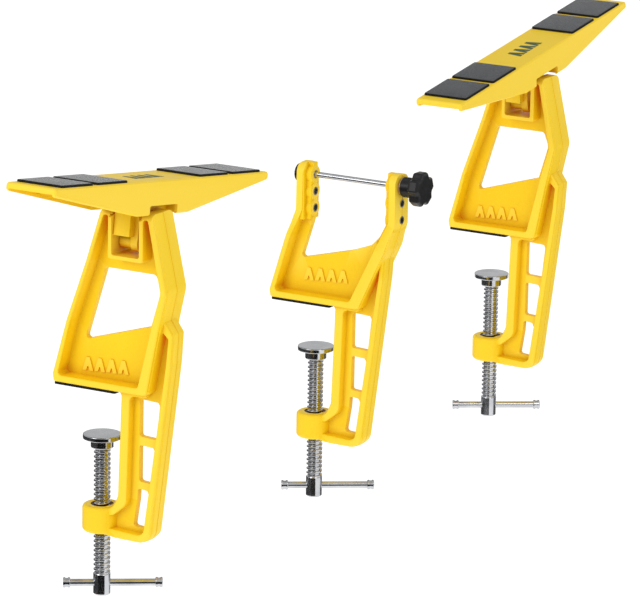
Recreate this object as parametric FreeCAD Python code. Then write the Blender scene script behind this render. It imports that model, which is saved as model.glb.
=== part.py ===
import FreeCAD, Part
import math
import os

# Ski vise set: two outer supports with tilting pad heads and a centre vise
# with a clamping rod.  All three grip the same bench edge with a screw.
#
# Frame, mm: X points away from the bench, Y runs along the bench edge,
# Z is up.  Z = 0 is the bench top under the jaw pads, X = 0 is the axis of
# the clamping screws and Y = 0 is the mid-plane of the centre vise.

V = FreeCAD.Vector
os.makedirs("parts", exist_ok=True)

# ---------------------------------------------------------------- dimensions
NEAR_Y = -341.5            # mid-plane of the near outer support
FAR_Y = 320.5              # mid-plane of the far outer support
NEAR_TILT = -8.0           # resting tilt of the near head, degrees about X
FAR_TILT = 8.0             # resting tilt of the far head

BODY_H = 16.5              # half width of the upper body
SPINE_H = 10.0             # half width of the spine
WEB_H = 3.0                # half thickness of the web
JAW_Z = 2.2                # underside of the jaw, top of the jaw pad
JAW_TOP = 7.8              # upper face of the jaw plate
JAW_PAD_X0, JAW_PAD_X1 = -37.0, 22.0
EMBOSS = 1.3               # height of the raised chevrons on the web
CROWN = 1.3                # how far the moulded outer faces stand out at mid-plane
SPINE_CROWN = 0.9
SEAM_HALF = 0.75           # half width of the parting groove along the mid-plane
SEAM_DEPTH = 1.0
LIP_W, LIP_STEP = 3.6, 0.5  # flat lip beside each rim, and the step up from it

BOSS_R = 16.3
BOSS_TOP = -99.5
BOSS_BOTTOM = -122.0
INSERT_R = 9.5             # thread insert in the boss

SCREW_R = 7.0              # major radius of the clamping screw
FIT = 0.05                 # radial running clearance
THREAD_TOP = -52.5
THREAD_END = -158.5
SCREW_HEAD_R = 7.2
SCREW_BOTTOM = -177.0
JOURNAL_R = 5.0
PLATE_TOP = -40.0          # pressure plate at rest, a 40 mm bench top
PLATE_R = 16.0
PLATE_T = 4.0
CUP_R = 9.5
CUP_BOTTOM = -52.0

BAR_Z = -167.3
BAR_R = 3.0
BAR_HALF = 38.0
CAP_R = 4.4
CAP_LENGTH = 6.0
CAP_OUTER = 41.0
BAR_ANGLE = 34.0           # resting direction of the tommy bars, from +X

HINGE_Z = 124.5            # head hinge axis
HINGE_PIN_R = 3.0
SLOT_X0, SLOT_X1 = 18.5, 45.0
SLOT_FLOOR = 115.4
ARM_TOP = 153.0
ARM_SHOULDER = ARM_TOP - 5.5  # where the arm tops step down to the slot

HEAD_X0, HEAD_X1 = 8.8, 55.3
HEAD_HALF = 160.5
HEAD_TOP = 53.4            # above the hinge axis
HEAD_BELLY = 25.4
HEAD_TIP = 46.8
LIP_CUT = 1.8              # how much shorter the end walls are than the side walls
HEAD_WALL = 2.8
NOTCH_HALF = 20.6          # notches that let the head tilt over the frame arms
NOTCH_TOP = 33.2
TONGUE_X1 = 34.0           # tongue plates in front of and behind the hinge leg
TONGUE_Y0, TONGUE_Y1 = 12.2, 15.0
TONGUE_LOW = 5.2
LEG_X0, LEG_X1 = 31.0, 37.6
LEG_R = 7.4
GUARD_X = (19.1, 42.7)     # thin plates inside the tray behind the notches
GUARD_T, GUARD_LOW = 1.7, 26.0
CHEEK_Y = NOTCH_HALF + 0.2  # plates that join the guards to the tray walls
PAD_X0, PAD_X1 = 10.8, 54.0
PAD_T = 2.0
PAD_SPANS = [(-149.2, -104.8), (-98.2, -54.6), (54.6, 98.2), (104.8, 149.2)]

ROD_Z = (113.0, 98.2, 83.4)
ROD_R = 2.5
ARM_IN_LEFT, ARM_IN_RIGHT = -2.6, 71.2
ARM_OUT_LEFT, ARM_OUT_RIGHT = -15.2, 84.2
ARM_BOSS_R = 8.2           # round bosses on the inner faces of the centre arms
ARM_BOSS_L = 7.0
BUSH_R = 3.6
WASHER_X, WASHER_T = 84.6, 0.8
KNOB_X = 85.6              # inner end of the knob's hub
HUB_R = 8.8
STAR_X0, STAR_X1 = 96.4, 107.2
STAR_R, VALLEY_R = 15.4, 12.3
ROD_END = 101.0
ROD_HEAD_X, ROD_HEAD_T = -20.1, 3.4


# ------------------------------------------------------------------- helpers
def inset(points, d):
    """Move every side of a counter-clockwise (x, z, radius) outline inwards by d."""
    n = len(points)
    lines = []
    for i in range(n):
        x0, z0, _ = points[i]
        x1, z1, _ = points[(i + 1) % n]
        length = math.hypot(x1 - x0, z1 - z0)
        nx, nz = -(z1 - z0) / length, (x1 - x0) / length
        lines.append((x0 + nx * d, z0 + nz * d, x1 - x0, z1 - z0))
    out = []
    for i in range(n):
        ax, az, adx, adz = lines[i - 1]
        bx, bz, bdx, bdz = lines[i]
        cross = adx * bdz - adz * bdx
        t = ((bx - ax) * bdz - (bz - az) * bdx) / cross
        r = points[i][2]
        if r > 0:
            r = max(r - d, 0.2) if cross > 0 else max(r + d, 0.2)
        out.append((ax + adx * t, az + adz * t, r))
    return out


def wire(points, y=0.0):
    """Closed wire in an XZ plane from (x, z, corner radius) points."""
    n = len(points)
    stops = []
    for i in range(n):
        p = V(points[i][0], y, points[i][1])
        before = V(points[i - 1][0], y, points[i - 1][1]) - p
        after = V(points[(i + 1) % n][0], y, points[(i + 1) % n][1]) - p
        r = points[i][2]
        if r <= 0:
            stops.append((p, None, p))
            continue
        before.normalize()
        after.normalize()
        half = before.getAngle(after) / 2
        reach = r / math.tan(half)
        bisector = before + after
        bisector.normalize()
        middle = p + bisector * (r / math.sin(half) - r)
        stops.append((p + before * reach, middle, p + after * reach))
    edges = []
    for i in range(n):
        start, middle, end = stops[i]
        if middle is not None:
            edges.append(Part.Arc(start, middle, end).toShape())
        following = stops[(i + 1) % n][0]
        if (following - end).Length > 1e-6:
            edges.append(Part.LineSegment(end, following).toShape())
    return Part.Wire(edges)


def prism(points, y0, y1):
    return Part.Face(wire(points, y0)).extrude(V(0, y1 - y0, 0))


def along_x(points, x0, x1):
    """Prism along X whose outline points are (y, z, radius)."""
    body = prism(points, -x1, -x0)
    body.rotate(V(0, 0, 0), V(0, 0, 1), 90)
    return body


def stepped(points, stations):
    """Solid through copies of an outline, each inset by its own amount."""
    wires = [wire(inset(points, d), y) for y, d in stations]
    return Part.makeLoft(wires, True, True)


def crowned(points, half, crown, edge=1.0):
    """Moulded slab: softened rims, a flat lip, a step, then proudest by the parting groove."""
    side = [(half, edge), (half - edge, 0.0), (half - LIP_W, 0.0),
            (half - LIP_W - 0.5, -LIP_STEP), (SEAM_HALF, -crown)]
    return stepped(points, [(-y, d) for y, d in side] + [(0.0, SEAM_DEPTH - crown)]
                   + [(y, d) for y, d in reversed(side)])


def recess(points, half, floor):
    """Pair of drafted pockets, one from each side, down to the web."""
    near = stepped(points, [(-half - 1.0, -1.6), (-half + 0.6, 0.0), (-floor, 0.5)])
    far = near.mirror(V(0, 0, 0), V(0, 1, 0))
    return near.fuse(far)


def box(x0, x1, y0, y1, z0, z1):
    return Part.makeBox(x1 - x0, y1 - y0, z1 - z0, V(x0, y0, z0))


def rod_x(r, x0, x1, y, z):
    return Part.makeCylinder(r, x1 - x0, V(x0, y, z), V(1, 0, 0))


def rod_z(r, z0, z1, x=0.0, y=0.0):
    return Part.makeCylinder(r, z1 - z0, V(x, y, z0), V(0, 0, 1))


def fuse(shapes):
    out = shapes[0].multiFuse(shapes[1:]).removeSplitter()
    return out.Solids[0] if len(out.Solids) == 1 else out


def cut(shape, tools):
    out = shape
    for tool in tools:
        out = out.cut(tool)
    return out.Solids[0] if len(out.Solids) == 1 else out


def round_edges(shape, radius, wanted):
    """Fillet the edges that the wanted(edge) test picks."""
    edges = [e for e in shape.Edges if wanted(e)]
    return shape.makeFillet(radius, edges)


def turned(shape, origin, axis, angle):
    out = shape.copy()
    out.rotate(origin, axis, angle)
    return out


def shifted(shape, y):
    out = shape.copy()
    out.translate(V(0, y, 0))
    return out


def save(name, shape):
    solids = shape.Solids
    if len(solids) != 1:
        raise ValueError("%s has %d solids" % (name, len(solids)))
    if not shape.isValid():
        raise ValueError(name + " is not valid")
    solids[0].exportStep("parts/%s.step" % name)
    b = shape.BoundBox
    print("%-24s %8.1f mm3  X %6.1f %6.1f  Y %6.1f %6.1f  Z %6.1f %6.1f"
          % (name, shape.Volume, b.XMin, b.XMax, b.YMin, b.YMax, b.ZMin, b.ZMax))


# --------------------------------------------------------- spine, all frames
SPINE = [(0, -121.8, 0), (20, -123.7, 30), (50.8, -124.0, 11), (70.6, 30.0, 60),
         (72.2, 54.2, 3), (64.5, 65.0, 1), (60.0, 58.0, 0), (46.0, 5.0, 0),
         (20.8, 5.0, 0), (20.8, 2.4, 0), (24.4, -2.0, 4), (21.3, -88.0, 12), (15.0, -99.8, 8),
         (0, -99.8, 0)]
SPINE_RECESS = [(4.0, -116.0, 0), (45.6, -118.0, 6), (67.0, 29.5, 60),
                (69.0, 51.0, 2), (63.6, 56.0, 1), (47.6, -1.5, 3),
                (32.4, -1.5, 4), (29.4, -94.0, 11), (16.0, -105.0, 5), (4.0, -105.6, 0)]
SPINE_WINDOWS = [
    [(38.0, -36.0, 2), (54.0, -36.8, 2), (57.2, -8.0, 3), (55.6, -5.4, 1), (38.2, -4.6, 1.5)],
    [(37.8, -74.0, 2), (49.8, -74.8, 2), (52.6, -47.0, 3), (50.8, -44.2, 1), (38.0, -43.4, 1.5)],
    [(32.6, -112.4, 2), (43.8, -113.4, 2), (47.6, -86.0, 3), (45.6, -81.4, 1),
     (36.8, -80.2, 1.5), (36.2, -90.0, 6)],
]


def spine():
    body = crowned(SPINE, SPINE_H, SPINE_CROWN)
    body = body.cut(recess(SPINE_RECESS, SPINE_H, WEB_H))
    for window in SPINE_WINDOWS:
        body = body.cut(stepped(window, [(-WEB_H - 1, -0.6), (-WEB_H + 0.5, 0.0),
                                         (WEB_H - 0.5, 0.0), (WEB_H + 1, -0.6)]))
    return body


def boss():
    body = rod_z(BOSS_R, BOSS_BOTTOM, BOSS_TOP)
    return round_edges(body, 3.0, lambda e: e.Curve.TypeId == "Part::GeomCircle")


def emblem(x0, z0):
    """Row of four raised chevrons on the near side of the web."""
    marks = []
    for i in range(4):
        x, z = x0 + 11.4 * i, z0 + 0.6 * i
        marks.append(prism([(x, z, 0.3), (x + 3.4, z, 0.3), (x + 5.1, z + 4.8, 0.5),
                            (x + 6.8, z, 0.3), (x + 10.2, z, 0.3),
                            (x + 6.7, z + 11.2, 0.8), (x + 3.5, z + 11.2, 0.8)],
                           -WEB_H - EMBOSS, -WEB_H + 0.5))
    return marks


def finish_frame(pieces):
    """Join the pieces, level the jaw for its pad and bore the boss for its insert."""
    body = fuse(pieces)
    return cut(body, [box(-60, JAW_PAD_X1, -30, 30, -5, JAW_Z),
                      rod_z(INSERT_R, BOSS_BOTTOM - 5, BOSS_TOP + 5)])


# ------------------------------------------------------------ outer supports
OUTER_BODY = [(-37.4, JAW_Z, 2), (51.6, JAW_Z, 5), (64.2, 63.7, 6), (70.2, 89.8, 12),
              (56.0, ARM_TOP, 3), (47.4, ARM_TOP, 3), (46.6, ARM_SHOULDER, 1),
              (16.9, ARM_SHOULDER, 1), (16.1, ARM_TOP, 3), (8.6, ARM_TOP, 3),
              (-5.8, 108.0, 40), (-24.9, 55.2, 40), (-38.2, 8.6, 1.5)]
OUTER_RECESS = [(-34.0, JAW_TOP, 3), (43.8, JAW_TOP, 3), (57.8, 63.7, 8), (65.2, 89.6, 9),
                (53.0, 148.0, 2), (48.4, 148.0, 2), (48.4, 112.2, 2.5),
                (15.1, 112.2, 2.5), (15.1, 148.0, 1.6), (10.9, 148.0, 1.6),
                (-2.2, 108.0, 40), (-21.3, 55.2, 40)]
OUTER_SIDE = [(-BODY_H - 0.4, -20, 0), (BODY_H + 0.4, -20, 0),
              (BODY_H + 0.4, ARM_TOP - 0.4, 7.5), (-BODY_H - 0.4, ARM_TOP - 0.4, 7.5)]
OUTER_WINDOW = [(-15.2, 38.0, 2.5), (48.4, 57.2, 4), (57.6, 88.0, 8), (53.0, 100.8, 4),
                (4.6, 101.0, 3)]


def outer_frame():
    body = crowned(OUTER_BODY, BODY_H, CROWN)
    body = body.common(along_x(OUTER_SIDE, -60, 110))
    body = body.cut(recess(OUTER_RECESS, BODY_H, WEB_H))
    body = body.cut(stepped(OUTER_WINDOW, [(-WEB_H - 1, -0.6), (-WEB_H + 0.5, 0.0),
                                           (WEB_H - 0.5, 0.0), (WEB_H + 1, -0.6)]))
    slot = prism([(SLOT_X0, SLOT_FLOOR, 2), (SLOT_X1, SLOT_FLOOR, 2),
                  (SLOT_X1, 170, 0), (SLOT_X0, 170, 0)], -30, 30)
    frame = finish_frame([body, spine(), boss()] + emblem(-16.6, 12.4))
    pin = rod_x(HINGE_PIN_R, 0, 60, 0, HINGE_Z)
    return cut(frame, [slot, pin.common(box(14.0, 49.5, -20, 20, 100, 140))])


# --------------------------------------------------------------- centre vise
CENTRE_BODY = [(-37.8, JAW_Z, 2), (50.0, JAW_Z, 5), (75.6, 57.6, 8), (82.8, 80.0, 12),
               (82.8, 124.0, 3), (-14.4, 124.0, 3), (-15.0, 82.0, 16),
               (-23.2, 58.7, 30), (-38.8, 8.6, 1.5)]
CENTRE_RECESS = [(-34.4, JAW_TOP, 3), (41.6, JAW_TOP, 4), (67.6, 60.6, 8), (77.4, 82.0, 10),
                 (77.4, 140.0, 0), (-8.8, 140.0, 0), (-9.6, 82.5, 14), (-18.6, 58.7, 30)]
CENTRE_GAP = [(-15.0, 37.6, 2.5), (36.0, 50.6, 60), (56.0, 58.0, 14), (64.0, 66.2, 10),
              (ARM_IN_RIGHT, 80.0, 8), (ARM_IN_RIGHT, 140.0, 0), (ARM_IN_LEFT, 140.0, 0),
              (ARM_IN_LEFT, 77.0, 10), (-5.2, 68.0, 14)]
SIDE_VIEW = [(-BODY_H - 3, -130, 0), (BODY_H + 3, -130, 0), (BODY_H + 3, 40, 4),
             (11.5, 82, 12), (11.5, 123.8, 8.5), (-11.5, 123.8, 8.5), (-11.5, 82, 12),
             (-BODY_H - 3, 40, 4)]


def arm_boss(x, out, z):
    """Round boss with a softened rim on the inner face of an arm."""
    x0, x1 = min(x, x + out * ARM_BOSS_L), max(x, x + out * ARM_BOSS_L)
    body = rod_x(ARM_BOSS_R, x0, x1, 0, z)
    return round_edges(body, 1.6, lambda e: abs(e.BoundBox.Center.x - x) < 0.01
                       and e.Curve.TypeId == "Part::GeomCircle")


def centre_frame():
    body = crowned(CENTRE_BODY, BODY_H, CROWN)
    body = body.cut(recess(CENTRE_RECESS, BODY_H, WEB_H))
    gap = prism(CENTRE_GAP, -30, 30)
    body = body.cut(gap)
    side = along_x(SIDE_VIEW, -60, 110)
    body = body.common(side)
    arms = [box(ARM_OUT_LEFT + 1.4, -8.0, -11.0, 11.0, 74.0, 123.0),
            box(76.6, ARM_OUT_RIGHT - 1.6, -11.0, 11.0, 74.0, 123.0),
            box(-9.0, ARM_IN_LEFT - 0.8, -6.8, 6.8, 74.0, ROD_Z[0] + 4.0),
            box(ARM_IN_RIGHT + 0.8, 78.0, -6.8, 6.8, 74.0, ROD_Z[0] + 4.0)]
    for x, out in ((ARM_IN_LEFT, -1), (ARM_IN_RIGHT, 1)):
        arms += [arm_boss(x, out, z) for z in ROD_Z]
    arms = [arm.common(side) for arm in arms]
    frame = finish_frame([body, spine(), boss()] + arms + emblem(-10.9, 19.0))
    bores = [rod_x(BUSH_R, -30, 100, 0, z) for z in ROD_Z]
    return cut(frame, bores)


# ------------------------------------------------- parts shared by all units
def jaw_pad():
    pad = box(JAW_PAD_X0, JAW_PAD_X1, -15.6, 15.6, 0, JAW_Z)
    return round_edges(pad, 1.5, lambda e: abs(e.tangentAt(e.FirstParameter).z) > 0.9)


def thread_insert():
    body = rod_z(INSERT_R, BOSS_BOTTOM + 0.4, BOSS_TOP - 0.6)
    return cut(body, [rod_z(SCREW_R + FIT, BOSS_BOTTOM - 5, BOSS_TOP + 5)])


def screw():
    """Clamping screw with a journal for the swivel plate and a cross hole."""
    shank = fuse([rod_z(SCREW_R, THREAD_END, THREAD_TOP),
                  rod_z(SCREW_HEAD_R, SCREW_BOTTOM, THREAD_END),
                  rod_z(JOURNAL_R, THREAD_TOP, PLATE_TOP - 3.4)])
    shank = round_edges(shank, 1.0, lambda e: abs(e.BoundBox.ZMax - SCREW_BOTTOM) < 0.01)
    hole = rod_x(BAR_R + FIT, -20, 20, 0, BAR_Z)
    return turned(cut(shank, [hole]), V(0, 0, 0), V(0, 0, 1), BAR_ANGLE)


def swivel_plate():
    disc = rod_z(PLATE_R, PLATE_TOP - PLATE_T, PLATE_TOP)
    disc = round_edges(disc, 0.8, lambda e: e.Curve.TypeId == "Part::GeomCircle")
    cup = rod_z(CUP_R, CUP_BOTTOM, PLATE_TOP - PLATE_T + 1)
    cup = round_edges(cup, 1.5, lambda e: abs(e.BoundBox.ZMax - CUP_BOTTOM) < 0.01)
    socket = rod_z(JOURNAL_R + FIT, CUP_BOTTOM - 1, PLATE_TOP - 3.0)
    return cut(fuse([disc, cup]), [socket])


def tommy_bar(offset):
    bar = rod_x(BAR_R, offset - BAR_HALF, offset + BAR_HALF, 0, BAR_Z)
    return turned(bar, V(0, 0, 0), V(0, 0, 1), BAR_ANGLE)


def bar_cap(offset, side):
    """Crimped end cap with a waist, open towards the bar."""
    x0 = offset + side * CAP_OUTER
    x1 = offset + side * (CAP_OUTER - CAP_LENGTH)
    lo, hi = min(x0, x1), max(x0, x1)
    body = rod_x(CAP_R, lo, hi, 0, BAR_Z)
    body = round_edges(body, 0.8, lambda e: e.Curve.TypeId == "Part::GeomCircle")
    mid = (lo + hi) / 2
    waist = rod_x(CAP_R + 2, mid - 1.1, mid + 1.1, 0, BAR_Z)
    waist = waist.cut(rod_x(CAP_R - 0.6, mid - 2, mid + 2, 0, BAR_Z))
    bore = rod_x(BAR_R, offset - BAR_HALF, offset + BAR_HALF, 0, BAR_Z)
    return turned(cut(body, [waist, bore]), V(0, 0, 0), V(0, 0, 1), BAR_ANGLE)


# --------------------------------------------------------------- pad heads
def head_profile(drop):
    """Side view of the head, (y, h), with its lower edge raised by drop."""
    return [(-HEAD_HALF, HEAD_TIP + drop, 2), (-38.0, HEAD_BELLY + drop, 25),
            (38.0, HEAD_BELLY + drop, 25), (HEAD_HALF, HEAD_TIP + drop, 2),
            (HEAD_HALF, HEAD_TOP, 2.5), (-HEAD_HALF, HEAD_TOP, 2.5)]


def pocket_walls(top):
    """Plates that close the space behind each notch, so the arms move in pockets."""
    half = CHEEK_Y + GUARD_T
    walls = [box(x, x + GUARD_T, -half, half, GUARD_LOW, top) for x in GUARD_X]
    for x0, x1 in ((HEAD_X0 + 1.5, GUARD_X[0] + GUARD_T), (GUARD_X[1], HEAD_X1 - 1.5)):
        walls.append(box(x0, x1, CHEEK_Y, half, GUARD_LOW, top))
        walls.append(box(x0, x1, -half, -CHEEK_Y, GUARD_LOW, top))
    return walls


def head():
    """Hollow tray with ribs, a hinge knuckle and notches for the frame arms.
    Built level, with the hinge axis at the height HINGE_Z."""
    block = stepped(head_profile(0.0), [(HEAD_X0, 1.2), (HEAD_X0 + 1.2, 0.0),
                                        (HEAD_X1 - 1.2, 0.0), (HEAD_X1, 1.2)])
    block.rotate(V(0, 0, 0), V(0, 0, 1), 90)
    block = block.mirror(V(0, 0, 0), V(1, 0, 0))
    end = HEAD_HALF - HEAD_WALL
    slope = (HEAD_TIP - HEAD_BELLY) / (HEAD_HALF - 38.0)
    ceiling = HEAD_TOP - HEAD_WALL
    hollow = along_x([(-end, 0, 0), (end, 0, 0), (end, ceiling, 1), (-end, ceiling, 1)],
                     HEAD_X0 + HEAD_WALL, HEAD_X1 - HEAD_WALL)
    body = block.cut(hollow)
    lips = [box(HEAD_X0 + HEAD_WALL, HEAD_X1 - HEAD_WALL, side * HEAD_HALF - 4,
                side * HEAD_HALF + 4, 0, HEAD_TIP + LIP_CUT) for side in (-1, 1)]
    body = cut(body, lips)
    ribs = []
    for y in (-118.0, -84.0, -50.0, 50.0, 84.0, 118.0):
        low = HEAD_BELLY + slope * (abs(y) - 38.0) + 3.0
        ribs.append(box(HEAD_X0 + 1.5, HEAD_X1 - 1.5, y - 1.0, y + 1.0, low, ceiling + 1))
    middle = (HEAD_X0 + HEAD_X1) / 2
    keel = along_x([(-end - 1, HEAD_TIP + 2.0, 0), (-40.0, HEAD_BELLY + 4, 0), (-7.0, HEAD_BELLY + 4, 0),
                    (-7.0, ceiling + 1, 0), (-end - 1, ceiling + 1, 0)], middle - 1, middle + 1)
    keels = [keel, keel.mirror(V(0, 0, 0), V(0, 1, 0))]
    knuckle = [rod_x(5.4, SLOT_X0 + 0.6, LEG_X1, 0, 0),
               rod_x(LEG_R, LEG_X0, LEG_X1, 0, 0),
               box(LEG_X0, LEG_X1, -LEG_R, LEG_R, 0, ceiling + 1)]
    for y0, y1, wall in ((-TONGUE_Y1, -TONGUE_Y0, -LEG_R + 1), (TONGUE_Y0, TONGUE_Y1, LEG_R - 1)):
        knuckle.append(box(SLOT_X0 + 0.5, TONGUE_X1, y0, y1, TONGUE_LOW, ceiling + 1))
        knuckle.append(box(LEG_X0, TONGUE_X1, min(y0, wall), max(y1, wall), TONGUE_LOW, ceiling + 1))
    body = fuse([body] + knuckle + ribs + keels + pocket_walls(ceiling + 1))
    outline = [(-NOTCH_HALF, 0, 0), (NOTCH_HALF, 0, 0), (NOTCH_HALF, NOTCH_TOP, 1.5),
               (-NOTCH_HALF, NOTCH_TOP, 1.5)]
    notch = along_x(outline, HEAD_X0 - 5, SLOT_X0 - 1.4)
    far_notch = along_x(outline, SLOT_X1 + 1.4, HEAD_X1 + 5)
    pin = rod_x(HINGE_PIN_R + FIT, 0, 70, 0, 0)
    body = cut(body, [notch, far_notch, pin])
    body.translate(V(0, 0, HINGE_Z))
    return body


def head_pad(span):
    pad = box(PAD_X0, PAD_X1, span[0], span[1], HEAD_TOP, HEAD_TOP + PAD_T)
    pad = round_edges(pad, 1.5, lambda e: abs(e.tangentAt(e.FirstParameter).z) > 0.9)
    pad = round_edges(pad, 0.5, lambda e: e.BoundBox.ZMin > HEAD_TOP + PAD_T - 0.01)
    pad.translate(V(0, 0, HINGE_Z))
    return pad


def hinge_pin():
    """Pressed into both walls of the frame slot; the head turns on it."""
    return rod_x(HINGE_PIN_R, 14.0, 49.5, 0, HINGE_Z)


# ------------------------------------------------------- rod and star knob
def clamp_rod():
    return rod_x(ROD_R, ROD_HEAD_X + 1.0, ROD_END, 0, ROD_Z[0])


def rod_head():
    body = rod_x(8.0, ROD_HEAD_X, ROD_HEAD_X + ROD_HEAD_T, 0, ROD_Z[0])
    body = round_edges(body, 1.2, lambda e: e.BoundBox.XMax < ROD_HEAD_X + 0.1)
    return cut(body, [rod_x(ROD_R, ROD_HEAD_X + 1.0, 0, 0, ROD_Z[0])])


def rod_bush(x0, x1, z):
    body = rod_x(BUSH_R, x0, x1, 0, z)
    return cut(body, [rod_x(ROD_R + 0.06, x0 - 1, x1 + 1, 0, z)])


def knob_washer():
    body = rod_x(8.0, WASHER_X, WASHER_X + WASHER_T, 0, ROD_Z[0])
    return cut(body, [rod_x(ROD_R + FIT, 80, 90, 0, ROD_Z[0])])


def star_knob():
    """Five-lobed star with softened rims on a round hub, one lobe upwards."""
    z = ROD_Z[0]
    outline = []
    for i in range(5):
        for turn, r, fillet in ((-17.0, STAR_R, 2.0), (17.0, STAR_R, 2.0), (36.0, VALLEY_R, 3.0)):
            a = math.radians(90 + 72 * i + turn)
            outline.append((r * math.cos(a), r * math.sin(a), fillet))
    length = STAR_X1 - STAR_X0
    star = stepped(outline, [(0, 1.5), (0.9, 0.5), (2.4, 0.0), (length - 2.6, 0.0),
                             (length - 1.2, 0.5), (length - 0.4, 1.2), (length, 2.2)])
    star.rotate(V(0, 0, 0), V(0, 0, 1), -90)
    star.translate(V(STAR_X0, 0, z))
    hub = rod_x(HUB_R, KNOB_X, STAR_X0 + 1.0, 0, z)
    hub = round_edges(hub, 0.8, lambda e: e.BoundBox.XMax < KNOB_X + 0.01)
    body = fuse([hub, star])
    return cut(body, [rod_x(4.2, KNOB_X - 1, STAR_X0 + 6.0, 0, z)])


def knob_insert():
    body = rod_x(4.2, KNOB_X + 0.3, STAR_X0 + 6.0, 0, ROD_Z[0])
    return cut(body, [rod_x(ROD_R + FIT, KNOB_X - 1, STAR_X0 + 7.0, 0, ROD_Z[0])])


# ------------------------------------------------------------------ assembly
UNITS = [("near", NEAR_Y, 9.0, NEAR_TILT), ("centre", 0.0, 12.0, None), ("far", FAR_Y, 7.0, FAR_TILT)]

outer = outer_frame()
centre = centre_frame()
tray = head()
for unit, y, bar_offset, tilt in UNITS:
    save(unit + "_frame", shifted(centre if tilt is None else outer, y))
    save(unit + "_jaw_pad", shifted(jaw_pad(), y))
    save(unit + "_thread_insert", shifted(thread_insert(), y))
    save(unit + "_screw", shifted(screw(), y))
    save(unit + "_swivel_plate", shifted(swivel_plate(), y))
    save(unit + "_tommy_bar", shifted(tommy_bar(bar_offset), y))
    save(unit + "_bar_cap_a", shifted(bar_cap(bar_offset, -1), y))
    save(unit + "_bar_cap_b", shifted(bar_cap(bar_offset, 1), y))
    if tilt is None:
        continue
    hinge = V(0, 0, HINGE_Z)
    save(unit + "_hinge_pin", shifted(hinge_pin(), y))
    save(unit + "_head", shifted(turned(tray, hinge, V(1, 0, 0), tilt), y))
    for i, span in enumerate(PAD_SPANS):
        pad = turned(head_pad(span), hinge, V(1, 0, 0), tilt)
        save("%s_head_pad_%d" % (unit, i + 1), shifted(pad, y))

for level, z in zip(("high", "mid", "low"), ROD_Z):
    save("left_bush_" + level, rod_bush(ARM_OUT_LEFT, ARM_IN_LEFT + 0.3, z))
    save("right_bush_" + level, rod_bush(ARM_IN_RIGHT - 0.3, ARM_OUT_RIGHT, z))
save("clamp_rod", clamp_rod())
save("rod_head", rod_head())
save("knob_washer", knob_washer())
save("star_knob", star_knob())
save("knob_insert", knob_insert())
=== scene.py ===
import math
import bpy
from mathutils import Matrix, Vector

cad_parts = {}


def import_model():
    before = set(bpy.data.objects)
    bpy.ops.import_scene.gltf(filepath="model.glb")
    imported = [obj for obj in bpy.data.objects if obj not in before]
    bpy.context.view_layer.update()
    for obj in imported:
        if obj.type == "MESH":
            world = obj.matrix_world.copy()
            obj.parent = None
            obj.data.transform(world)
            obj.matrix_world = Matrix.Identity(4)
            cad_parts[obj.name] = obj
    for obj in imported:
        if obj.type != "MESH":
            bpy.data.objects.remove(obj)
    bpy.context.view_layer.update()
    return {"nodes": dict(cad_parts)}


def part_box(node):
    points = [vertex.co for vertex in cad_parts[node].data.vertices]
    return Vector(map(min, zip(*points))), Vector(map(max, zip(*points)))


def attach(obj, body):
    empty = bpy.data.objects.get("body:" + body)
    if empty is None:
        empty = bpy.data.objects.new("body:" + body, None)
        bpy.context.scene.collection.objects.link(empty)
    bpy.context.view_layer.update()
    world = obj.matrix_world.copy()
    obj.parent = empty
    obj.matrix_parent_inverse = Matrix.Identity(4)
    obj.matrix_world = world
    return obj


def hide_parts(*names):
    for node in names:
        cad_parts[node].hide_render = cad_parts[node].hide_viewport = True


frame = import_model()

scene = bpy.context.scene
nodes = frame["nodes"]
UNITS = ("near", "centre", "far")

# All lengths are in metres. The hinge, pad and screw sizes further down repeat part.py's.

# Camera: long lens, seen from the front right and a little above; angles in degrees.
CAMERA_AT = Vector((2.0534, -3.4872, 1.0169))
CAMERA_AZIMUTH = 30.45
CAMERA_ELEVATION = 14.07
CAMERA_ROLL = 0.83
CAMERA_LENS = 268.57

# Studio. The floor lies well below the set, so that the screens reach under its reflections.
FLOOR_Z = -0.60
FLOOR_HALF = 12.0
FLOOR_GLOW = 0.45
WORLD_LIGHT = 0.66
FLAG_R, FLAG_STEPS = 1.0, 16
KEY_AT, KEY_SIZE, KEY_POWER = (2.6, -1.6, 2.6), 1.6, 21
FILL_AT, FILL_SIZE, FILL_POWER = (-1.2, -3.4, 1.9), 2.0, 37


# ------------------------------------------------------------- node helpers
def material(name):
    mat = bpy.data.materials.new(name)
    mat.use_nodes = True
    tree = mat.node_tree
    tree.nodes.clear()
    out = tree.nodes.new("ShaderNodeOutputMaterial")
    shader = tree.nodes.new("ShaderNodeBsdfPrincipled")
    tree.links.new(shader.outputs[0], out.inputs[0])
    return mat, tree, shader


def add(tree, kind, **inputs):
    """New shader node; inputs are socket values or sockets to link."""
    node = tree.nodes.new(kind)
    for key, value in inputs.items():
        socket = node.inputs[key.replace("_", " ")]
        if isinstance(value, bpy.types.NodeSocket):
            tree.links.new(value, socket)
        else:
            socket.default_value = value
    return node


def noise(tree, scale, detail=3.0, roughness=0.5):
    """Noise in object space; scale is in lumps per metre or so."""
    coords = tree.nodes.new("ShaderNodeTexCoord").outputs["Object"]
    return add(tree, "ShaderNodeTexNoise", Vector=coords, Scale=scale, Detail=detail,
               Roughness=roughness).outputs["Fac"]


def ramp(tree, fac, stops):
    """Colour ramp through stops of (position, colour)."""
    node = tree.nodes.new("ShaderNodeValToRGB")
    tree.links.new(fac, node.inputs[0])
    elements = node.color_ramp.elements
    while len(elements) < len(stops):
        elements.new(0.5)
    for element, (place, colour) in zip(elements, stops):
        element.position = place
        element.color = (*colour, 1.0)
    return node.outputs[0]


def value_range(tree, fac, low, high):
    node = add(tree, "ShaderNodeMapRange", Value=fac)
    node.inputs["To Min"].default_value = low
    node.inputs["To Max"].default_value = high
    return node.outputs[0]


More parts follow.
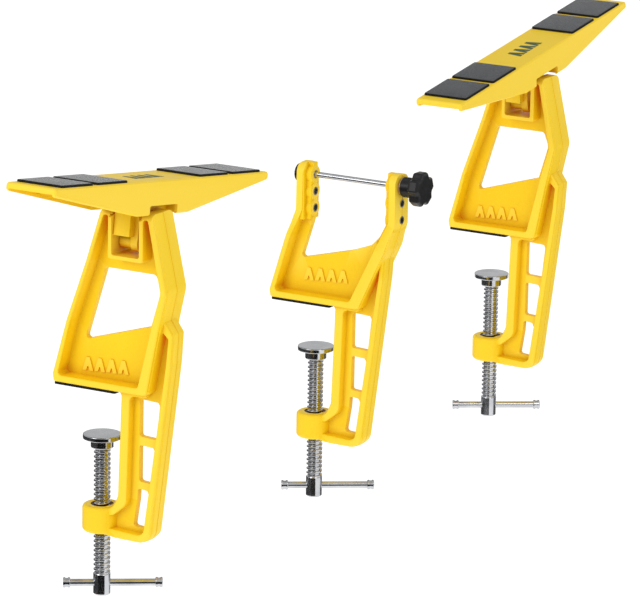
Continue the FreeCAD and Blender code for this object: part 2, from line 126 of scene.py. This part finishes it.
def mix(tree, fac, a, b, blend="MIX"):
    node = tree.nodes.new("ShaderNodeMix")
    node.data_type = "RGBA"
    node.blend_type = blend
    for socket, value in ((node.inputs[0], fac), (node.inputs[6], a), (node.inputs[7], b)):
        if isinstance(value, bpy.types.NodeSocket):
            tree.links.new(value, socket)
        else:
            socket.default_value = value if isinstance(value, float) else (*value, 1.0)
    return node.outputs[2]


def bump(tree, shader, height, strength, distance):
    node = add(tree, "ShaderNodeBump", Height=height, Strength=strength, Distance=distance)
    tree.links.new(node.outputs[0], shader.inputs["Normal"])


# ---------------------------------------------------------------- materials
RUBBER_GRAIN = 900.0


def yellow_plastic(name="yellow_plastic"):
    """Injection-moulded plastic: fine spark texture, soft flow marks, a painted highlight on the
    edges and painted shade in the hollows, ochre, turning orange where they are deepest."""
    mat, tree, shader = material(name)
    flow = noise(tree, 9.0, 2.0, 0.6)
    base = ramp(tree, flow, [(0.3, (0.93, 0.615, 0.004)), (0.7, (0.98, 0.665, 0.007))])
    spots = noise(tree, 420.0, 3.0, 0.6)
    mottle = ramp(tree, spots, [(0.3, (0.965, 0.955, 0.90)), (0.7, (1, 1, 1))])
    base = mix(tree, 1.0, base, mottle, "MULTIPLY")
    # Paler colour on convex edges, picked out by pointiness: a painted highlight along the
    # edges.
    edge = add(tree, "ShaderNodeNewGeometry").outputs["Pointiness"]
    painted_edge_highlight_mask = ramp(tree, edge, [(0.50, (0, 0, 0)), (0.57, (1, 1, 1))])
    base = mix(tree, painted_edge_highlight_mask, base, (1.0, 0.70, 0.045))
    # Painted shade: ambient occlusion darkens hollows, creases and corners towards ochre, and
    # the deepest towards orange, in place of the shade and bounce light that fall there.
    hollow = add(tree, "ShaderNodeAmbientOcclusion", Distance=0.011).outputs["AO"]
    painted_shade_mask = ramp(tree, hollow, [(0.15, (1, 1, 1)), (0.84, (0, 0, 0))])
    deep_painted_shade, shallow_painted_shade = (1.0, 0.27, 0.015), (0.71, 0.40, 0.006)
    painted_shade_tint = ramp(tree, hollow, [(0.12, deep_painted_shade), (0.45, shallow_painted_shade)])
    base = mix(tree, painted_shade_mask, base, painted_shade_tint)
    tree.links.new(base, shader.inputs["Base Color"])
    rough = value_range(tree, noise(tree, 60.0, 4.0), 0.34, 0.46)
    tree.links.new(rough, shader.inputs["Roughness"])
    bump(tree, shader, noise(tree, 2200.0, 2.0), 0.12, 0.0002)
    shader.inputs["IOR"].default_value = 1.46
    shader.inputs["Specular IOR Level"].default_value = 0.28
    return mat


def rubber(name, dark, light, scale=RUBBER_GRAIN, roughness=(0.55, 0.75), gloss=0.15):
    """Fine-grained rubber with pale dust in the grain."""
    mat, tree, shader = material(name)
    speckle = noise(tree, scale, 4.0, 0.7)
    base = ramp(tree, speckle, [(0.35, dark), (0.7, light)])
    cloud = ramp(tree, noise(tree, 45.0, 2.0), [(0.3, (0.86, 0.86, 0.86)), (0.7, (1, 1, 1))])
    tree.links.new(mix(tree, 1.0, base, cloud, "MULTIPLY"), shader.inputs["Base Color"])
    tree.links.new(value_range(tree, noise(tree, 40.0), *roughness), shader.inputs["Roughness"])
    bump(tree, shader, noise(tree, scale * 1.6, 2.0), 0.35, 0.0003)
    shader.inputs["Specular IOR Level"].default_value = gloss
    return mat


def metal(name, dark, light, roughness, blotch_scale=70.0):
    """Plated or turned metal with soft blotches and a faint grain."""
    mat, tree, shader = material(name)
    blotch = noise(tree, blotch_scale, 4.0, 0.6)
    tree.links.new(ramp(tree, blotch, [(0.3, dark), (0.75, light)]), shader.inputs["Base Color"])
    tree.links.new(value_range(tree, blotch, *roughness), shader.inputs["Roughness"])
    shader.inputs["Metallic"].default_value = 1.0
    bump(tree, shader, noise(tree, 900.0, 2.0), 0.08, 0.0002)
    return mat


def black_plastic(name):
    """Hard black plastic with a faint mottle and a fine moulded grain."""
    mat, tree, shader = material(name)
    speckle = noise(tree, 500.0, 3.0)
    base = ramp(tree, speckle, [(0.3, (0.007, 0.007, 0.008)), (0.8, (0.016, 0.016, 0.018))])
    tree.links.new(base, shader.inputs["Base Color"])
    tree.links.new(value_range(tree, noise(tree, 50.0), 0.24, 0.36), shader.inputs["Roughness"])
    bump(tree, shader, noise(tree, 1600.0, 2.0), 0.2, 0.0002)
    shader.inputs["Specular IOR Level"].default_value = 0.26
    return mat


def printed_ink(name):
    """Thin dark green ink, a little worn."""
    mat, tree, shader = material(name)
    wear = noise(tree, 700.0, 4.0, 0.7)
    base = ramp(tree, wear, [(0.25, (0.040, 0.085, 0.045)), (0.8, (0.085, 0.150, 0.075))])
    tree.links.new(base, shader.inputs["Base Color"])
    tree.links.new(value_range(tree, wear, 0.4, 0.6), shader.inputs["Roughness"])
    bump(tree, shader, wear, 0.1, 0.0001)
    return mat


YELLOW = yellow_plastic()
PAD_TOP = rubber("pad_top", (0.072, 0.076, 0.081), (0.112, 0.117, 0.123), RUBBER_GRAIN,
                 (0.20, 0.30), 0.55)
PAD_EDGE = rubber("pad_edge", (0.006, 0.006, 0.006), (0.013, 0.013, 0.013))
JAW_RUBBER = rubber("jaw_rubber", (0.007, 0.007, 0.007), (0.015, 0.015, 0.015))
STEEL = metal("plated_steel", (0.46, 0.47, 0.49), (0.64, 0.65, 0.67), (0.10, 0.20))
# Near-black finish for the thread inserts: painted shade standing in for the shaded ring round
# each screw at the boss top.
INSERT_PAINTED_SHADE = metal("dark_steel", (0.035, 0.035, 0.038), (0.075, 0.075, 0.080), (0.30, 0.45))
SATIN_STEEL = metal("satin_steel", (0.30, 0.30, 0.29), (0.46, 0.46, 0.44), (0.38, 0.52))
BRASS = metal("turned_brass", (0.42, 0.30, 0.12), (0.62, 0.48, 0.22), (0.25, 0.40), 120.0)
BLACK = black_plastic("black_plastic")
INK = printed_ink("printed_ink")


def node_material(name):
    if name.endswith(("_frame", "_head")) and name != "rod_head":
        return YELLOW
    if name.endswith("_jaw_pad"):
        return JAW_RUBBER
    # Thread inserts get the near-black finish that paints the shade in their recessed ring.
    if name.endswith("_thread_insert"):
        return INSERT_PAINTED_SHADE
    if name == "knob_insert":
        return BRASS
    if name in ("star_knob", "rod_head"):
        return BLACK
    if "bush" in name or name == "knob_washer":
        return SATIN_STEEL
    return STEEL


for name, obj in nodes.items():
    obj.data.materials.clear()
    obj.data.materials.append(node_material(name))


# ------------------------------------------------------------------- pieces
def new_object(name, verts, faces, mats, face_slots=None, smooth_angle=None):
    """Mesh object in the scene; face_slots gives each face's material, smooth_angle the
    angle in degrees above which an edge stays sharp."""
    mesh = bpy.data.meshes.new(name)
    mesh.from_pydata([tuple(v) for v in verts], [], faces)
    mesh.validate()
    for mat in mats:
        mesh.materials.append(mat)
    if face_slots:
        for polygon, slot_index in zip(mesh.polygons, face_slots):
            polygon.material_index = slot_index
    if smooth_angle is not None:
        mesh.shade_smooth()
        mesh.set_sharp_from_angle(angle=math.radians(smooth_angle))
    obj = bpy.data.objects.new(name, mesh)
    scene.collection.objects.link(obj)
    return obj


def lathe_grid(rows, columns):
    """Closed skin through rings of columns points, with a fan cap at each end."""
    verts = [point for row in rows for point in row]
    faces = []
    for i in range(len(rows) - 1):
        for j in range(columns):
            k = (j + 1) % columns
            low, high = i * columns, (i + 1) * columns
            faces.append((low + j, low + k, high + k, high + j))
    faces.append(tuple(reversed(range(columns))))
    faces.append(tuple(range((len(rows) - 1) * columns, len(rows) * columns)))
    return verts, faces


# Clamping screws: a real helix in place of the plain cylinder.
PITCH = 0.004
THREAD_MAJOR, THREAD_ROOT = 0.00698, 0.0056
THREAD_LOW, THREAD_HIGH = -0.1585, -0.0525
HEAD_LOW, HEAD_R = -0.177, 0.0072
JOURNAL_HIGH, JOURNAL_R = -0.0434, 0.005
BAR_Z, BAR_HOLE_R = -0.1673, 0.00305
BAR_ANGLE = math.radians(34.0)
FLANK_START, FLANK_WIDTH = 0.16, 0.20    # as shares of the pitch
RUNOUT = 0.0012
THREAD_COLUMNS, THREAD_ROW = 48, 0.00025
HOLE_COLUMNS, CUTTER_HALF = 40, 0.02


def thread_radius(angle, z):
    """Trapezoidal thread profile with eased flanks, running out at its top end."""
    phase = ((z / PITCH) - angle / (2 * math.pi)) % 1.0
    rise = min(max((0.5 - abs(phase - 0.5) - FLANK_START) / FLANK_WIDTH, 0.0), 1.0)
    rise = rise * rise * (3 - 2 * rise)
    out = min(max((THREAD_HIGH - z) / RUNOUT, 0.0), 1.0)
    return THREAD_ROOT + (THREAD_MAJOR - THREAD_ROOT) * rise * out


def ring(z, radius_at):
    """Ring of points round the Z axis; radius_at gives the radius at each angle."""
    angles = [2 * math.pi * j / THREAD_COLUMNS for j in range(THREAD_COLUMNS)]
    return [(radius_at(a) * math.cos(a), radius_at(a) * math.sin(a), z) for a in angles]


def hole_ring(x):
    """One ring of the cross hole's cutter, at x along the tommy bar."""
    turn = Matrix.Rotation(BAR_ANGLE, 4, "Z")
    angles = [2 * math.pi * j / HOLE_COLUMNS for j in range(HOLE_COLUMNS)]
    return [turn @ Vector((x, BAR_HOLE_R * math.cos(a), BAR_Z + BAR_HOLE_R * math.sin(a)))
            for a in angles]


def screw_mesh():
    """Screw with its axis along Z: plain head with a cross hole, thread, journal."""
    rows = [ring(z, lambda a, r=r: r) for z, r in
            ((HEAD_LOW, HEAD_R - 0.0010), (HEAD_LOW + 0.0004, HEAD_R - 0.0004),
             (HEAD_LOW + 0.0011, HEAD_R), (HEAD_LOW + 0.0014, HEAD_R),
             (THREAD_LOW - 0.0010, HEAD_R), (THREAD_LOW - 0.0007, HEAD_R),
             (THREAD_LOW - 0.0001, HEAD_R - 0.0006))]
    steps = round((THREAD_HIGH - THREAD_LOW) / THREAD_ROW)
    for i in range(steps + 1):
        z = THREAD_LOW + i * THREAD_ROW
        rows.append(ring(z, lambda a, z=z: thread_radius(a, z)))
    rows += [ring(z, lambda a, r=r: r) for z, r in
             ((THREAD_HIGH + 0.0001, JOURNAL_R), (JOURNAL_HIGH - 0.0005, JOURNAL_R),
              (JOURNAL_HIGH, JOURNAL_R - 0.0005))]
    verts, faces = lathe_grid(rows, THREAD_COLUMNS)
    body = new_object("screw_blank", verts, faces, [STEEL])
    verts, faces = lathe_grid([hole_ring(-CUTTER_HALF), hole_ring(CUTTER_HALF)], HOLE_COLUMNS)
    cutter = new_object("screw_cutter", verts, faces, [STEEL])
    cut = body.modifiers.new("hole", "BOOLEAN")
    cut.object = cutter
    cut.operation = "DIFFERENCE"
    cut.solver = "EXACT"
    graph = bpy.context.evaluated_depsgraph_get()
    mesh = bpy.data.meshes.new_from_object(body.evaluated_get(graph))
    for extra in (body, cutter):
        bpy.data.objects.remove(extra)
    return mesh


SCREW = screw_mesh()
for unit in UNITS:
    low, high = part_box(unit + "_screw")
    mesh = SCREW.copy()
    mesh.transform(Matrix.Translation((0, (low[1] + high[1]) / 2, 0)))
    mesh.shade_smooth()
    mesh.set_sharp_from_angle(angle=math.radians(50))
    screw = bpy.data.objects.new(unit + "_threaded_screw", mesh)
    scene.collection.objects.link(screw)
    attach(screw, unit + "_spindle")
    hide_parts(unit + "_screw")


# Grip pads: grained tops with black cut edges.
HINGE_Z = 0.1245
TILT = {"near": -8.0, "far": 8.0}
HEAD_TOP = 0.0534
PAD_X = (0.0108, 0.0540)
PAD_SPANS = ((-0.1492, -0.1048), (-0.0982, -0.0546), (0.0546, 0.0982), (0.1048, 0.1492))
PAD_T = 0.002

# Printed mark on each head: a row of chevrons.
MARK_COUNT, MARK_PITCH = 4, 0.0108
MARK_X, MARK_Y = 0.0400, -0.0212
MARK_SUNK, MARK_RAISED = 0.00005, 0.00012


def head_matrix(unit):
    """From the level head, hinge axis along X through the origin, to its place at rest."""
    low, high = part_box(unit + "_hinge_pin")
    return (Matrix.Translation((0, (low[1] + high[1]) / 2, HINGE_Z))
            @ Matrix.Rotation(math.radians(TILT[unit]), 4, "X"))


def rounded_outline(x0, x1, y0, y1, r, steps=6):
    """Rectangle with corners of radius r, as a closed list of (x, y)."""
    points = []
    corners = ((x1 - r, y1 - r, 0), (x0 + r, y1 - r, 90), (x0 + r, y0 + r, 180),
               (x1 - r, y0 + r, 270))
    for cx, cy, start in corners:
        for i in range(steps + 1):
            a = math.radians(start + 90 * i / steps)
            points.append((cx + r * math.cos(a), cy + r * math.sin(a)))
    return points


def grip_pad(name, matrix, x, y):
    """Thin pad with rounded corners, an eased rim and a slightly raised middle."""
    profile = [(0.00005, 0.0), (0.0, 0.0004), (0.0, PAD_T - 0.0007), (0.0002, PAD_T - 0.0002),
               (0.0007, PAD_T - 0.00005), (0.0013, PAD_T - 0.00005), (0.0026, PAD_T)]
    rows = []
    for inward, h in profile:
        outline = rounded_outline(x[0] + inward, x[1] - inward, y[0] + inward, y[1] - inward,
                                  max(0.0018 - inward, 0.0004))
        rows.append([matrix @ Vector((px, py, HEAD_TOP + h)) for px, py in outline])
    columns = len(rows[0])
    verts, faces = lathe_grid(rows, columns)
    slots = [0] * (4 * columns) + [1] * (2 * columns) + [0, 1]
    return new_object(name, verts, faces, [PAD_EDGE, PAD_TOP], slots, 35)


def mark_outline(x, y):
    """One chevron of the printed mark, with its feet at x; x is across the head, y along it."""
    shape = ((0.0, 0.0), (0.0040, 0.0), (0.0050, 0.0054), (0.0060, 0.0), (0.0100, 0.0),
             (0.0070, 0.0150), (0.0030, 0.0150))
    return [(x - v, y + u) for u, v in shape]


def printed_mark(name, matrix):
    """Thin printed row of generic chevrons, a film that just stands proud of the head."""
    verts, faces = [], []
    for i in range(MARK_COUNT):
        outline = mark_outline(MARK_X, MARK_Y + MARK_PITCH * i)
        n, start = len(outline), len(verts)
        for h in (-MARK_SUNK, MARK_RAISED):
            verts += [matrix @ Vector((px, py, HEAD_TOP + h)) for px, py in outline]
        for j in range(n):
            k = (j + 1) % n
            faces.append((start + j, start + k, start + n + k, start + n + j))
        faces.append(tuple(reversed(range(start, start + n))))
        faces.append(tuple(range(start + n, start + 2 * n)))
    return new_object(name, verts, faces, [INK])


for unit in ("near", "far"):
    place = head_matrix(unit)
    for i, span in enumerate(PAD_SPANS):
        pad = grip_pad("%s_grip_pad_%d" % (unit, i + 1), place, PAD_X, span)
        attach(pad, unit + "_head")
        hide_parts("%s_head_pad_%d" % (unit, i + 1))
    mark = printed_mark(unit + "_printed_mark", place)
    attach(mark, unit + "_head")


# ------------------------------------------------------------ stage and light
def stage():
    """Plain white floor that glows a little, so it stays white round the set."""
    mesh = bpy.data.meshes.new("floor")
    signs = ((-1, -1), (1, -1), (1, 1), (-1, 1))
    corners = [(x * FLOOR_HALF, y * FLOOR_HALF, FLOOR_Z) for x, y in signs]
    mesh.from_pydata(corners, [], [(0, 1, 2, 3)])
    floor = bpy.data.objects.new("floor", mesh)
    scene.collection.objects.link(floor)
    mat, tree, shader = material("floor_white")
    shader.inputs["Base Color"].default_value = (0.90, 0.90, 0.90, 1.0)
    shader.inputs["Emission Color"].default_value = (1.0, 1.0, 1.0, 1.0)
    shader.inputs["Emission Strength"].default_value = FLOOR_GLOW
    shader.inputs["Roughness"].default_value = 0.9
    mesh.materials.append(mat)


def area_light(name, at, size, power):
    """Round soft light aimed at the origin."""
    data = bpy.data.lights.new(name, "AREA")
    data.shape = "DISK"
    data.size = size
    data.energy = power
    light = bpy.data.objects.new(name, data)
    scene.collection.objects.link(light)
    light.location = at
    light.rotation_euler = (-Vector(at)).to_track_quat("-Z", "Y").to_euler()


def dark_flag(name, start, end, shade, low=FLOOR_Z + 0.001, high=0.0):
    """Curved dark screen round the set that only mirrors see, as a studio has beside the
    camera; start and end are degrees from the camera's side, counted to its right."""
    towards_camera = math.radians(CAMERA_AZIMUTH - 90.0)
    verts = []
    for i in range(FLAG_STEPS + 1):
        a = towards_camera + math.radians(start + (end - start) * i / FLAG_STEPS)
        for z in (low, high):
            verts.append((FLAG_R * math.cos(a), FLAG_R * math.sin(a), z))
    faces = [(2 * i, 2 * i + 2, 2 * i + 3, 2 * i + 1) for i in range(FLAG_STEPS)]
    mat, tree, shader = material(name)
    shader.inputs["Base Color"].default_value = (shade, shade, shade, 1.0)
    shader.inputs["Roughness"].default_value = 1.0
    flag = new_object(name, verts, faces, [mat])
    flag.visible_camera = False
    flag.visible_diffuse = False
    flag.visible_shadow = False


def world():
    """White backdrop to the camera, a softer white for the light it gives."""
    scene.world = bpy.data.worlds.new("studio")
    scene.world.use_nodes = True
    tree = scene.world.node_tree
    background = tree.nodes["Background"]
    seen = tree.nodes.new("ShaderNodeLightPath").outputs["Is Camera Ray"]
    strength = value_range(tree, seen, WORLD_LIGHT, 1.0)
    tree.links.new(strength, background.inputs[1])
    background.inputs[0].default_value = (1.0, 1.0, 1.0, 1.0)


def camera():
    """Camera turned by azimuth and elevation, then rolled about its own line of sight."""
    az, el, roll = (math.radians(a) for a in (CAMERA_AZIMUTH, CAMERA_ELEVATION, CAMERA_ROLL))
    back = Vector((math.sin(az) * math.cos(el), -math.cos(az) * math.cos(el), math.sin(el)))
    right = Vector((math.cos(az), math.sin(az), 0.0))
    up = back.cross(right)
    right_r = right * math.cos(roll) + up * math.sin(roll)
    up_r = up * math.cos(roll) - right * math.sin(roll)
    data = bpy.data.cameras.new("camera")
    data.lens = CAMERA_LENS
    data.sensor_width = 36.0
    data.clip_end = 100.0
    cam = bpy.data.objects.new("camera", data)
    scene.collection.objects.link(cam)
    turn = Matrix((right_r, up_r, back)).transposed()
    cam.matrix_world = Matrix.Translation(CAMERA_AT) @ turn.to_4x4()
    scene.camera = cam


scene.view_settings.view_transform = "Standard"
stage()
world()
camera()
dark_flag("flag_middle", -44, 20, 0.005, high=0.10)
dark_flag("flag_left", -160, -44, 0.06, high=0.10)
dark_flag("flag_right", 96, 140, 0.10, high=0.06)
dark_flag("flag_back", 150, 215, 0.05, 0.48, 1.10)
area_light("key", KEY_AT, KEY_SIZE, KEY_POWER)
area_light("fill", FILL_AT, FILL_SIZE, FILL_POWER)
